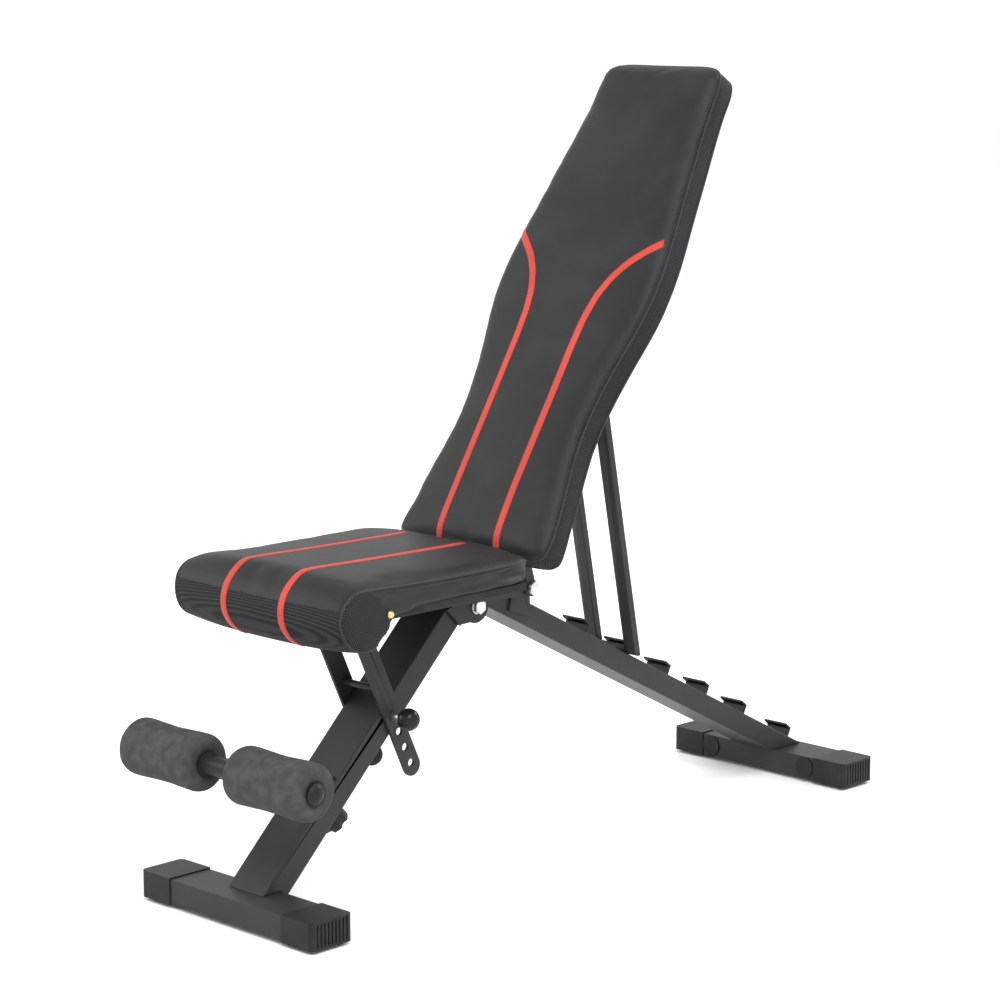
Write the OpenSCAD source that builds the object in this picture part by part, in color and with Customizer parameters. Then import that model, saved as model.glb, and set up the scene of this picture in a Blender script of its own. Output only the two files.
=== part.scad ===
// Adjustable weight bench: folding A-frame, tilting seat, reclining backrest on a hooked
// ladder leg, and a front roller bar. X runs across the bench, -Y is the front, +Z is up.
// The origin is on the floor, in the middle of the bench's length and width.

/* [Feet] */
// Distance between the centres of the two feet
foot_span = 916; // [760:4:1100]
// Overall length of a foot, over its end caps
foot_len = 288; // [240:1:348]
// Width of a foot's end cap, front to back
foot_w = 60; // [54:1:72]
// Height of a foot's end cap
foot_h = 31.4; // [28:0.2:38]
// Length of an end cap along the foot
cap_len = 50; // [40:1:60]
// Thickness of the rubber pads under the caps
pad_h = 4.1; // [3:0.1:6]
// Radius of the rubber pads
pad_r = 16; // [12:0.5:19]

/* [Legs] */
// Width of both leg tubes
leg_w = 60; // [50:1:72]
// Thickness of the front leg tube
front_leg_t = 30; // [26:1:36]
// Thickness of the rear leg tube
rear_leg_t = 27; // [24:1:32]
// Wall of the steel tubes
tube_wall = 2; // [1.5:0.1:2.5]
// Height of the folding hinge above the floor
hinge_z = 311.5; // [290:0.5:330]
// Radius of the folding hinge bolt
hinge_r = 5; // [4:0.1:6]

/* [Ladder hooks] */
// Largest distance between hooks along the ladder
hook_pitch = 84.4; // [70:0.2:86]
// Distance down the ladder from the axle to the first hook
hook_first = 142.9; // [130:0.1:155]
// Extra distance before the lowest hook
hook_last_gap = 18; // [0:0.2:24]
// Width of a hook plate
hook_w = 37; // [24:1:39]
// Height of a hook plate above the ladder
hook_h = 11.5; // [10.5:0.1:14]
// Thickness of a hook plate
hook_t = 3.2; // [2.5:0.1:4]
// Reach of the bent lip over the support bar
hook_lip = 9; // [6:0.5:11]

/* [Seat] */
// Width of the seat pad
seat_w = 280; // [240:2:336]
// Length of the flat part of the seat, from the roll's centre
seat_len = 264; // [220:2:318]
// Thickness of the flat part of the pad
seat_t = 28; // [24:1:34]
// Radius of the rolled front edge
seat_roll_r = 31.5; // [27:0.5:38]
// Height of the pad's underside above the floor
seat_base_z = 356.5; // [354:0.5:362]
// Thickness of the seat and backrest boards
board_t = 9; // [7:0.5:10]

/* [Backrest] */
// Length of the backrest pad
back_len = 654; // [545:1:786]
// Half width of the pad at its lower end
back_bottom = 118; // [100:1:141]
// Half width at the waist
back_waist = 103; // [90:1:123]
// Half width at the shoulders
back_shoulder = 124; // [110:1:148]
// Half width at the top
back_top = 82; // [70:1:98]
// Thickness of the pad's foam
back_t = 33; // [28:1:38]
// Recline from horizontal, degrees
back_deg = 58.15; // [57:0.25:60]
// Distance from the pivot axle to the pad's front face
back_offset = 76.8; // [76:0.1:80]
// Side of the square rails behind the pad
rail_w = 20; // [16:1:22]
// Radius of the seat and backrest pivot axle
axle_r = 5; // [4:0.1:6]

/* [Seat adjuster] */
// Width of the adjuster strips
strip_w = 25; // [22:1:30]
// Thickness of the adjuster strips
strip_t = 4; // [3:0.2:4.8]
// Distance between the adjusting holes
strip_pitch = 22; // [19:0.5:23]
// Number of adjusting holes
strip_holes = 4; // [2:1:4]
// Radius of the adjusting holes
strip_hole_r = 4.6; // [4.3:0.1:5.4]
// Radius of the locking pin
pin_r = 4; // [3:0.1:4.2]
// Radius of the ball knob
ball_r = 13; // [10:0.5:15.5]

/* [Roller bar] */
// Radius of a foam roller at its ends
roller_r = 33; // [28:0.5:39]
// Length of a foam roller
roller_len = 119; // [95:1:122]
// Gap between the two rollers
roller_gap = 58; // [48:1:70]
// Waist depth of a foam roller
roller_waist = 1.5; // [0:0.5:5]
// Radius of the bar inside the rollers
bar_r = 11; // [9:0.5:13]

/* [Support frame] */
// Width of the support frame's flat tubes
support_w = 18; // [15:1:20]
// Thickness of the support frame's flat tubes
support_t = 10; // [9:0.5:12]
// Distance between the support tubes' centres
support_gap = 62; // [60:1:66]
// Radius of the support frame's cross bar
bar_small_r = 5; // [4:0.1:5.3]

/* [Hidden] */
// running fit between a pin and its bore, on the radius
fit = 0.06;
// gap between parts that slide past each other
gap = 0.5;
// small weld or washer standoff
stand_off = 1;
plate_t = 3.5;
lug_r = 10;

// feet
cap_rim = 1.5;
cap_end = 4;
tube_w = foot_w - 2 * cap_rim;
tube_h = foot_h - 2 * cap_rim;
tube_z = pad_h + cap_rim;
foot_top = tube_z + tube_h;
roller_ahead = 26;
front_reach = max(foot_w / 2, roller_ahead + roller_r);
rear_foot_y = (foot_span + front_reach - foot_w / 2) / 2;
front_foot_y = rear_foot_y - foot_span;

// folding hinge, just under the rear leg
hinge_share = 0.638605;
hinge_under = 6;
hinge_y = rear_foot_y - hinge_share * foot_span;
hinge = [hinge_y, hinge_z];
hinge_boss_r = 16;
ear_r = 20;
ear_x = leg_w / 2 + gap;
head_x = ear_x + plate_t + 0.3;

// rear leg: from the rear foot's back third up over the hinge
rear_top_y = rear_foot_y + 24.4;
rear_rise = hinge_z - foot_top;
rear_run = rear_top_y - hinge_y;
rear_leg_deg = atan2(rear_rise, rear_run)
    + asin((hinge_under + rear_leg_t) / sqrt(rear_rise * rear_rise + rear_run * rear_run));
rear_slope = tan(rear_leg_deg);
function ladder_z(y) = foot_top + (rear_top_y - y) * rear_slope;
leg_drop = rear_leg_t / cos(rear_leg_deg);

// pivot axle of the seat and the backrest
axle_y = hinge_y + 75;
axle_z = hinge_z + 13;
ear_boss_r = 14;

// front leg: from the middle of the front foot's top up beside the hinge
leg_beside = 19.6;
leg_end_gap = 32.3;
leg_mark = [front_foot_y + 4.5, foot_top + 2.7];
foot_back_y = front_foot_y + tube_w / 2;
front_rise = hinge_z - leg_mark[1];
front_run = hinge_y - leg_mark[0];
front_leg_deg = atan2(front_rise, front_run)
    + asin((leg_beside + front_leg_t / 2) / sqrt(front_rise * front_rise + front_run * front_run));
leg_dir = [cos(front_leg_deg), sin(front_leg_deg)];
leg_out = [-sin(front_leg_deg), cos(front_leg_deg)];
leg_head = hinge + leg_out * leg_beside - leg_dir * leg_end_gap;
leg_foot_z = foot_top - 8;
// a point on the front leg, by distance from its head and from its axis
function on_leg(down, out) = leg_head - leg_dir * down + leg_out * out;
function along_leg_z(p, z) = p + leg_dir * (z - p[1]) / leg_dir[1];

// seat
seat_rear_y = axle_y - 85.7;
roll_y = seat_rear_y - seat_len;
roll_z = seat_base_z - 2.2;
seat_top_z = seat_base_z + seat_t;
board_z = seat_base_z - board_t;
board_front_y = roll_y + seat_roll_r + 15;
board_rear_y = seat_rear_y - 8;
seat_plate_x = 43;
seat_plate_t = 4;
seat_plate_h = 26.5;
seat_cross = 18;
seat_cross_y = [board_front_y + 1, board_rear_y - 26];
arm_top_z = axle_z - 1;
arm_bottom_z = axle_z - 9;

// adjuster strips, pinned to the front leg
strip_x = leg_w / 2 + stand_off;
strip_top = [board_front_y + 33.9, axle_z + 8];
pin_at = on_leg(138.6, 0);
strip_first = norm(pin_at - strip_top);
strip_dir = (pin_at - strip_top) / strip_first;
strip_end = strip_first + (strip_holes - 1) * strip_pitch + 4;
cross_rod_r = 4;
cross_rod_clear = 14.3;
strip_to_leg = abs(strip_dir[0] * leg_dir[1] - strip_dir[1] * leg_dir[0]);
cross_rod_at = strip_first - (front_leg_t / 2 + cross_rod_r + cross_rod_clear) / strip_to_leg;
function on_strip(d) = strip_top + strip_dir * d;
ball_x = strip_x + strip_t + 25;

// roller bar on its post
roller_y = front_foot_y - roller_ahead;
roller_z = 179.5;
post_w = 24;
post_wall = 2;
post_at = 264;
post_base_t = 4;
bar_end = roller_gap / 2 + roller_len + 1;
post_root = on_leg(post_at, front_leg_t / 2);

// clamp knob behind the front leg
screw_r = 4;
knob_r = 17;

// backrest, built upright at the axle and then leaned back
rail_x = 57;
rail_back = back_offset - back_t - board_t;
rail_y = -rail_back;
pad_low = 8;
pad_end = pad_low + back_len;
shoulder_at = pad_low + back_len * 0.549;
waist_at = pad_low + back_len * 0.266;
top_corner = 28;
low_corner = 20;
board_inset = 8;
rail_low = 22;
rail_len = 500;
back_plate_x = seat_plate_x + seat_plate_t + gap;
back_plate_t = 4;

// support frame between the backrest rails and a ladder hook
rod_up = 282.8;
rod_y = rail_y + rail_w / 2;
lean = 90 - back_deg;
rod_at = [axle_y, axle_z] + [rod_y * cos(lean) + rod_up * sin(lean), rod_up * cos(lean) - rod_y * sin(lean)];
used_hook = 2;
hook_count = 6;
bar_ahead = bar_small_r + 1.5;
bar_above = bar_small_r + 1;
ladder_dir = [cos(rear_leg_deg), -sin(rear_leg_deg)];
ladder_up = [sin(rear_leg_deg), cos(rear_leg_deg)];
ladder_start = [axle_y, ladder_z(axle_y)];
ladder_len = (rear_top_y - axle_y) / cos(rear_leg_deg);
hook_step = min(hook_pitch, (ladder_len - hook_first - hook_last_gap - 14) / (hook_count - 1));
function hook_along(i) = hook_first + (i - 1) * hook_step + (i == hook_count ? hook_last_gap : 0);
function hook_at(i) = ladder_start + ladder_dir * hook_along(i);
bar_at = hook_at(used_hook) - ladder_dir * bar_ahead + ladder_up * bar_above;
support_run = norm(bar_at - rod_at);
support_tail = 7;

$fn = 48;

// ---- helpers ----

// extrudes a (y, z) outline across the bench, from x0 to x1
module across(x0, x1) {
    translate([x0, 0, 0])
        rotate([90, 0, 90])
            linear_extrude(height = x1 - x0)
                children();
}

// a round bar along X
module bar_x(p, r, x0, x1) {
    translate([x0, p[0], p[1]])
        rotate([0, 90, 0])
            cylinder(r = r, h = x1 - x0);
}

// keeps a part on its own side, or mirrors it to the other
module to_side(side) {
    if (side > 0) children();
    else mirror([1, 0, 0]) children();
}

// the same outline on both sides of the bench
module both_sides(x0, x1) {
    across(x0, x1) children();
    across(-x1, -x0) children();
}

// a flat outline point
module spot(p, r) {
    translate(p) circle(r = r);
}

// a straight link outline of one width between two points
module link(p, q, w) {
    d = (q - p) / norm(q - p);
    s = [-d[1], d[0]] * w / 2;
    polygon([p + s, p - s, q - s, q + s]);
}

// puts upright backrest parts at the axle, leaned back
module leaned() {
    translate([0, axle_y, axle_z])
        rotate([-lean, 0, 0])
            children();
}

// ---- feet ----

module foot_tube(y) {
    inner = foot_len - 2 * cap_end;
    translate([-inner / 2, y - tube_w / 2, tube_z])
        difference() {
            cube([inner, tube_w, tube_h]);
            translate([-1, tube_wall, tube_wall])
                cube([inner + 2, tube_w - 2 * tube_wall, tube_h - 2 * tube_wall]);
        }
}

module foot_cap(y, side) {
    corner = 6;
    ribs = 9;
    rib_pitch = (foot_w - 2 * corner) / ribs;
    x0 = foot_len / 2 - cap_len;
    to_side(side)
        difference() {
            translate([x0, y, pad_h])
                linear_extrude(height = foot_h) {
                    translate([0, -foot_w / 2]) square([cap_len - corner, foot_w]);
                    translate([0, corner - foot_w / 2]) square([cap_len, foot_w - 2 * corner]);
                    for (s = [-1, 1])
                        translate([cap_len - corner, s * (foot_w / 2 - corner)]) circle(r = corner);
                }
            translate([x0 - 1, y - tube_w / 2, tube_z])
                cube([cap_len - cap_end + 1, tube_w, tube_h]);
            for (i = [0:ribs - 1])
                translate([x0 + cap_len - 1.2, y - foot_w / 2 + corner + (i + 0.3) * rib_pitch, pad_h + 3])
                    cube([2, rib_pitch * 0.4, foot_h - 6]);
        }
}

module foot_pads(y) {
    for (s = [-1, 1])
        translate([s * (foot_len / 2 - cap_len / 2), y, 0])
            cylinder(r = pad_r, h = pad_h);
}

module rear_foot_tube() {
    color([0.25, 0.25, 0.26]) foot_tube(rear_foot_y);
}

module rear_foot_cap(side) {
    color([0.06, 0.06, 0.06]) foot_cap(rear_foot_y, side);
}

module rear_foot_pads() {
    color([0.1, 0.1, 0.1]) foot_pads(rear_foot_y);
}

module front_foot_tube() {
    color([0.25, 0.25, 0.26]) foot_tube(front_foot_y);
}

module front_foot_cap(side) {
    color([0.06, 0.06, 0.06]) foot_cap(front_foot_y, side);
}

module front_foot_pads() {
    color([0.1, 0.1, 0.1]) foot_pads(front_foot_y);
}

module rear_foot_plugs() {
    plug_r = tube_h / 2 - 0.7;
    plug_x = foot_len / 2 - cap_len - plug_r - 1;
    color([0.1, 0.1, 0.1])
        for (s = [-1, 1])
            translate([s * plug_x, rear_foot_y - tube_w / 2, tube_z + tube_h / 2])
                rotate([90, 0, 0])
                    cylinder(r = plug_r, h = 2);
}

// ---- rear frame ----

module rear_leg() {
    low_y = rear_top_y - leg_drop / rear_slope;
    top_cut = board_z - 5;
    end_y = hinge_y - 13;
    top_y = rear_top_y - (top_cut - foot_top) / rear_slope;
    inner_up = tube_wall / cos(rear_leg_deg);
    color([0.25, 0.25, 0.26])
        difference() {
            across(-leg_w / 2, leg_w / 2)
                polygon([
                    [rear_top_y, foot_top],
                    [low_y, foot_top],
                    [end_y, ladder_z(end_y) - leg_drop],
                    [end_y, top_cut],
                    [top_y, top_cut]
                ]);
            across(-leg_w / 2 + tube_wall, leg_w / 2 - tube_wall)
                polygon([
                    [rear_top_y - 8, ladder_z(rear_top_y - 8) - inner_up],
                    [low_y, foot_top + inner_up],
                    [end_y - 1, ladder_z(end_y - 1) - leg_drop + inner_up],
                    [end_y - 1, top_cut - tube_wall],
                    [top_y, top_cut - tube_wall]
                ]);
        }
}

// one ladder hook: an upright plate with a lip bent up the slope
module hook(i) {
    p = hook_at(i);
    lip_t = 2.6;
    lip_rise = 2.2;
    color([0.12, 0.12, 0.13])
        translate([0, p[0], p[1]])
            rotate([-rear_leg_deg, 0, 0])
                across(-hook_w / 2, hook_w / 2)
                    polygon([
                        [0, 0],
                        [hook_t, 0],
                        [hook_t, hook_h + lip_t],
                        [-hook_lip, hook_h + lip_rise + lip_t],
                        [-hook_lip, hook_h + lip_rise],
                        [0, hook_h]
                    ]);
}

// block under the rear leg that carries the folding hinge bolt
module hinge_lug() {
    color([0.25, 0.25, 0.26])
        difference() {
            intersection() {
                bar_x(hinge, hinge_boss_r, -leg_w / 2, leg_w / 2);
                across(-leg_w, leg_w)
                    polygon([
                        [hinge_y - 60, ladder_z(hinge_y - 60) - leg_drop],
                        [hinge_y + 60, ladder_z(hinge_y + 60) - leg_drop],
                        [hinge_y + 60, hinge_z - 60],
                        [hinge_y - 60, hinge_z - 60]
                    ]);
            }
            bar_x(hinge, hinge_r + fit, -leg_w, leg_w);
        }
}

// plates on the rear leg's sides that carry the seat and backrest axle
module pivot_ears() {
    a = [axle_y, axle_z];
    foot_y = axle_y - 4;
    low = ladder_z(foot_y) - leg_drop * 0.75;
    color([0.25, 0.25, 0.26])
        difference() {
            both_sides(leg_w / 2, leg_w / 2 + plate_t) {
                spot(a, ear_boss_r);
                polygon([
                    [axle_y - ear_boss_r, axle_z],
                    [axle_y - ear_boss_r - 6, low + 8],
                    [axle_y + ear_boss_r + 2, low - 4],
                    [axle_y + ear_boss_r, axle_z]
                ]);
            }
            bar_x(a, axle_r + fit, -leg_w, leg_w);
        }
}

module hinge_bolt() {
    color([0.8, 0.8, 0.82]) {
        bar_x(hinge, hinge_r, -head_x - 9, head_x + 1);
        bar_x(hinge, 9, head_x, head_x + 1.6);
        translate([head_x + 1.6, hinge_y, hinge_z])
            rotate([0, 90, 0])
                cylinder(r = 8.6, h = 5.4, $fn = 6);
    }
}

module hinge_nut() {
    color([0.8, 0.8, 0.82])
        difference() {
            translate([-head_x - 7, hinge_y, hinge_z])
                rotate([0, 90, 0])
                    cylinder(r = 8.6, h = 7, $fn = 6);
            bar_x(hinge, hinge_r, -head_x - 8, -head_x + 1);
        }
}

// ---- front frame ----

module front_leg() {
    half = front_leg_t / 2;
    front_head = on_leg(0, half);
    rear_head = on_leg(0, -half);
    front_low = along_leg_z(front_head, foot_top);
    rear_low = along_leg_z(rear_head, leg_foot_z);
    color([0.25, 0.25, 0.26])
        difference() {
            across(-leg_w / 2, leg_w / 2)
                polygon([
                    front_head,
                    rear_head,
                    rear_low,
                    [foot_back_y, leg_foot_z],
                    [foot_back_y, foot_top],
                    front_low
                ]);
            across(-leg_w / 2 + tube_wall, leg_w / 2 - tube_wall)
                link(on_leg(-1, 0), on_leg(norm(front_low - front_head) - front_leg_t, 0), front_leg_t - 2 * tube_wall);
            bar_x(pin_at, pin_r + gap, -leg_w, leg_w);
            leg_screw_hole(post_at, screw_r + gap);
        }
}

// a round hole square through the front leg
module leg_screw_hole(down, r) {
    p = on_leg(down, -front_leg_t);
    translate([0, p[0], p[1]])
        rotate([front_leg_deg, 0, 0])
            cylinder(r = r, h = 2 * front_leg_t);
}

module hinge_bracket() {
    h = hinge;
    half = front_leg_t / 2;
    web_t = 4;
    color([0.25, 0.25, 0.26])
        difference() {
            union() {
                across(-ear_x - plate_t, ear_x + plate_t)
                    polygon([on_leg(0, half), on_leg(0, -half), on_leg(-web_t, -half), on_leg(-web_t, half)]);
                both_sides(ear_x, ear_x + plate_t) {
                    spot(h, ear_r);
                    polygon([
                        on_leg(-web_t / 2, half),
                        on_leg(-web_t / 2, -half),
                        h - leg_out * ear_r * 0.96 - leg_dir * ear_r * 0.28,
                        h + leg_out * ear_r
                    ]);
                }
            }
            bar_x(h, hinge_r + fit, -leg_w, leg_w);
        }
}

// rubber buffer on the back of the front leg, where the folded legs meet
module fold_bumper() {
    p = on_leg(176, -front_leg_t / 2);
    bumper_r = 13;
    color([0.2, 0.2, 0.2])
        translate([0, p[0], p[1]])
            rotate([180 + front_leg_deg, 0, 0]) {
                cylinder(r = bumper_r, h = 20);
                translate([0, 0, 20])
                    rotate_extrude()
                        intersection() {
                            circle(r = bumper_r);
                            square(bumper_r);
                        }
            }
}

module roller_post() {
    b = [roller_y, roller_z];
    d = (b - post_root) / norm(b - post_root);
    color([0.2, 0.2, 0.2])
        difference() {
            across(-post_w / 2, post_w / 2)
                difference() {
                    link(post_root - d * 20, b, post_w);
                    polygon([
                        on_leg(post_at - 60, front_leg_t / 2 + post_base_t),
                        on_leg(post_at + 60, front_leg_t / 2 + post_base_t),
                        on_leg(post_at + 60, -60),
                        on_leg(post_at - 60, -60)
                    ]);
                }
            across(-post_w / 2 + post_wall, post_w / 2 - post_wall)
                link(post_root - d * 20, b - d * (bar_r + 4), post_w - 2 * post_wall);
            bar_x(b, bar_r, -leg_w, leg_w);
        }
}

module post_base() {
    half_len = 28;
    t0 = front_leg_t / 2;
    color([0.2, 0.2, 0.2])
        difference() {
            across(-leg_w / 2 + 6, leg_w / 2 - 6)
                polygon([
                    on_leg(post_at - half_len, t0),
                    on_leg(post_at + half_len, t0),
                    on_leg(post_at + half_len, t0 + post_base_t),
                    on_leg(post_at - half_len, t0 + post_base_t)
                ]);
            leg_screw_hole(post_at, screw_r + fit);
        }
}

// tube through both rollers, with collars that keep them off the post
module roller_bar() {
    collar_x = roller_gap / 2 - 0.5;
    color([0.12, 0.12, 0.12])
        difference() {
            union() {
                bar_x([roller_y, roller_z], bar_r, -bar_end, bar_end);
                for (s = [-1, 1])
                    bar_x([roller_y, roller_z], bar_r + 3, s * (collar_x - 1.5) - 1.5, s * (collar_x - 1.5) + 1.5);
            }
            bar_x([roller_y, roller_z], bar_r - tube_wall, -bar_end - 1, bar_end + 1);
        }
}

module bar_cap(side) {
    stem = 14;
    color([0.06, 0.06, 0.06])
        to_side(side)
            translate([bar_end, roller_y, roller_z])
                rotate([0, 90, 0]) {
                    translate([0, 0, -stem]) cylinder(r = bar_r - tube_wall, h = stem);
                    cylinder(r = bar_r + 2, h = 1.5);
                    translate([0, 0, 1.5])
                        rotate_extrude()
                            intersection() {
                                translate([0, -10]) circle(r = bar_r + 4);
                                square([bar_r + 1.2, bar_r]);
                            }
                }
}

// a waisted foam sleeve with rounded ends, which spins on the bar
module foam_roller(side) {
    x0 = roller_gap / 2;
    edge = 10;
    waist_len = roller_len - 2 * edge;
    steps = 12;
    function profile_r(t) = roller_r - roller_waist * (1 - cos(360 * t)) / 2;
    color([0.2, 0.2, 0.2])
        to_side(side)
            translate([x0, roller_y, roller_z])
                rotate([0, 90, 0])
                    rotate_extrude($fn = 40)
                        difference() {
                            union() {
                                polygon(concat(
                                    [[0, edge]],
                                    [for (i = [0:steps]) [profile_r(i / steps), edge + waist_len * i / steps]],
                                    [[0, roller_len - edge]]
                                ));
                                square([roller_r - edge, roller_len]);
                                for (z = [edge, roller_len - edge])
                                    translate([roller_r - edge, z]) circle(r = edge, $fn = 24);
                            }
                            square([2 * (bar_r + fit), 3 * roller_len], center = true);
                        }
}

module clamp_screw() {
    p = on_leg(post_at, -front_leg_t / 2 - 14);
    color([0.75, 0.75, 0.77])
        translate([0, p[0], p[1]])
            rotate([front_leg_deg, 0, 0])
                cylinder(r = screw_r, h = front_leg_t + 14 + post_base_t);
}

// five-lobed hand knob on the clamp screw
module clamp_knob() {
    p = on_leg(post_at, -front_leg_t / 2 - 1.5);
    lobes = 5;
    head_h = 20;
    color([0.05, 0.05, 0.05])
        translate([0, p[0], p[1]])
            rotate([180 + front_leg_deg, 0, 0])
                difference() {
                    union() {
                        cylinder(r = 9, h = 8);
                        translate([0, 0, 6])
                            difference() {
                                cylinder(r = knob_r, h = head_h);
                                for (i = [0:lobes - 1])
                                    rotate([0, 0, i * 360 / lobes])
                                        translate([knob_r + 4, 0, -1])
                                            cylinder(r = 7, h = head_h + 2);
                            }
                    }
                    translate([0, 0, -1]) cylinder(r = screw_r + 0.02, h = 13.5);
                }
}

// ---- seat ----

module seat_pad() {
    corner = 24;
    color([0.08, 0.08, 0.08])
        intersection() {
            across(-seat_w / 2, seat_w / 2) {
                spot([roll_y, roll_z], seat_roll_r);
                translate([roll_y, seat_base_z]) square([seat_len, seat_t]);
                polygon([
                    [roll_y, roll_z],
                    [roll_y + seat_roll_r * 0.62, roll_z - seat_roll_r * 0.69],
                    [roll_y + seat_roll_r + 3.2, seat_base_z - 7],
                    [board_front_y, seat_base_z],
                    [roll_y, seat_base_z]
                ]);
            }
            translate([0, 0, roll_z - 2 * seat_roll_r])
                linear_extrude(height = 5 * seat_roll_r) {
                    translate([-seat_w / 2, roll_y - 2 * seat_roll_r])
                        square([seat_w, seat_len + 2 * seat_roll_r - corner]);
                    translate([corner - seat_w / 2, roll_y])
                        square([seat_w - 2 * corner, seat_len]);
                    for (s = [-1, 1])
                        translate([s * (seat_w / 2 - corner), seat_rear_y - corner]) circle(r = corner);
                }
        }
}

module seat_board() {
    inset = 8;
    color([0.1, 0.1, 0.1])
        translate([inset - seat_w / 2, board_front_y, board_z])
            cube([seat_w - 2 * inset, board_rear_y - board_front_y, board_t]);
}

// side plate of the seat frame, with an arm back to the pivot axle
module seat_plate(side) {
    a = [axle_y, axle_z];
    x0 = side > 0 ? seat_plate_x : -seat_plate_x - seat_plate_t;
    low = board_z - seat_plate_h;
    color([0.2, 0.2, 0.2])
        difference() {
            across(x0, x0 + seat_plate_t) {
                translate([board_front_y, low])
                    square([board_rear_y - board_front_y, seat_plate_h]);
                polygon([
                    [board_rear_y - 30, low],
                    [axle_y, arm_bottom_z],
                    [axle_y, arm_top_z],
                    [board_rear_y, arm_top_z],
                    [board_rear_y - 30, arm_top_z]
                ]);
                spot(a, lug_r);
            }
            bar_x(a, axle_r + fit, -leg_w, leg_w);
            bar_x(strip_top, hinge_r + fit, -leg_w, leg_w);
        }
}

module seat_cross_tubes() {
    side = seat_cross;
    color([0.2, 0.2, 0.2])
        for (y = seat_cross_y)
            translate([-seat_plate_x, y, board_z - side])
                difference() {
                    cube([2 * seat_plate_x, side, side]);
                    translate([-1, tube_wall, tube_wall])
                        cube([2 * seat_plate_x + 2, side - 2 * tube_wall, side - 2 * tube_wall]);
                }
}

module seat_side_screws() {
    color([0.85, 0.65, 0.3])
        for (s = [-1, 1])
            translate([s * seat_w / 2, board_front_y - 9.5, seat_base_z - 2.1])
                rotate([0, s * 90, 0])
                    cylinder(r1 = 4.4, r2 = 3, h = 2.4, $fn = 32);
}

// screws up through the cross tubes into the seat board
module seat_board_screws() {
    color([0.6, 0.6, 0.62])
        for (x = [-22, 22], y = seat_cross_y)
            translate([x, y + seat_cross / 2, board_z - seat_cross - 2.4])
                cylinder(r = 5, h = 2.4);
}

module strip_rod() {
    p = strip_top;
    x1 = seat_plate_x + seat_plate_t;
    color([0.7, 0.7, 0.72]) {
        bar_x(p, hinge_r, -x1, x1);
        bar_x(p, 8, x1, x1 + 4);
        bar_x(p, 8, -x1 - 4, -x1);
    }
}

module strip_spacers() {
    p = strip_top;
    outer = strip_x + strip_t;
    color([0.7, 0.7, 0.72])
        difference() {
            union() {
                bar_x(p, 8, -strip_x + 0.3, strip_x - 0.3);
                bar_x(p, 8, outer + 0.3, seat_plate_x);
                bar_x(p, 8, -seat_plate_x, -outer - 0.3);
            }
            bar_x(p, hinge_r + fit, -seat_plate_x - 1, seat_plate_x + 1);
        }
}

// ---- seat adjuster strips and locking pin ----

module strip(side) {
    x0 = side > 0 ? strip_x : -strip_x - strip_t;
    color([0.3, 0.3, 0.31])
        difference() {
            across(x0, x0 + strip_t) {
                spot(on_strip(0), strip_w / 2);
                link(on_strip(0), on_strip(strip_end), strip_w);
                spot(on_strip(strip_end), strip_w / 2);
            }
            bar_x(on_strip(0), hinge_r + fit, -leg_w, leg_w);
            for (i = [0:strip_holes - 1])
                bar_x(on_strip(strip_first + i * strip_pitch), strip_hole_r, -leg_w, leg_w);
        }
}

module strip_cross_rod() {
    color([0.3, 0.3, 0.31])
        bar_x(on_strip(cross_rod_at), cross_rod_r, -strip_x, strip_x);
}

module lock_pin() {
    outer = strip_x + strip_t;
    color([0.75, 0.75, 0.77]) {
        bar_x(pin_at, pin_r, leg_w / 2 + 0.4, ball_x - ball_r + 6);
        bar_x(pin_at, 6, outer + 0.3, ball_x - ball_r + 1);
    }
}

module ball_knob() {
    inner_x = ball_x - ball_r;
    color([0.03, 0.03, 0.03])
        difference() {
            translate([ball_x, pin_at[0], pin_at[1]])
                rotate([0, 90, 0])
                    sphere(r = ball_r, $fn = 64);
            bar_x(pin_at, pin_r, inner_x - 1, inner_x + 6);
            bar_x(pin_at, 6, inner_x - 1, inner_x + 1);
        }
}

// ---- pivot axle ----

module pivot_axle() {
    a = [axle_y, axle_z];
    x1 = back_plate_x + back_plate_t + 0.5;
    color([0.75, 0.75, 0.77]) {
        bar_x(a, axle_r, -x1 - 8, x1);
        bar_x(a, 8, x1, x1 + 5);
    }
}

module axle_nut() {
    a = [axle_y, axle_z];
    x1 = back_plate_x + back_plate_t + 0.5;
    color([0.75, 0.75, 0.77])
        difference() {
            translate([-x1 - 6, axle_y, axle_z])
                rotate([0, 90, 0])
                    cylinder(r = 8.6, h = 6, $fn = 6);
            bar_x(a, axle_r + 0.02, -x1 - 7, -x1 + 1);
        }
}

// ---- backrest, upright at the axle, its front towards -Y ----

function blend(a, b, t) = a + (b - a) * (1 - cos(180 * t)) / 2;

// half width of the pad at a height above the axle
function half_width(z) =
    z < waist_at ? blend(back_bottom, back_waist, (z - pad_low) / (waist_at - pad_low)) :
    z < shoulder_at ? blend(back_waist, back_shoulder, (z - waist_at) / (shoulder_at - waist_at)) :
    back_shoulder + (back_top - back_shoulder) * pow((z - shoulder_at) / (pad_end - shoulder_at), 1.15);

// outline of the pad, made smaller all round by an inset
module back_outline(inset) {
    rise = 24;
    low = pad_low + inset;
    high = pad_end - inset;
    span = high - top_corner - (low + low_corner);
    sides = [for (i = [0:rise]) let (z = low + low_corner + span * i / rise) [half_width(z) - inset, z]];
    wide_low = half_width(low + low_corner) - inset;
    wide_high = half_width(high - top_corner) - inset;
    lower = [for (a = [0:15:75]) [wide_low - low_corner * (1 - sin(a)), low + low_corner * (1 - cos(a))]];
    upper = [for (a = [15:15:90]) [
        wide_high - top_corner * (1 - cos(a)) - 2 * a / 90,
        high - top_corner * (1 - sin(a))
    ]];
    right = concat(lower, sides, upper);
    count = len(right);
    polygon(concat(right, [for (i = [1:count]) [-right[count - i][0], right[count - i][1]]]));
}

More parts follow.
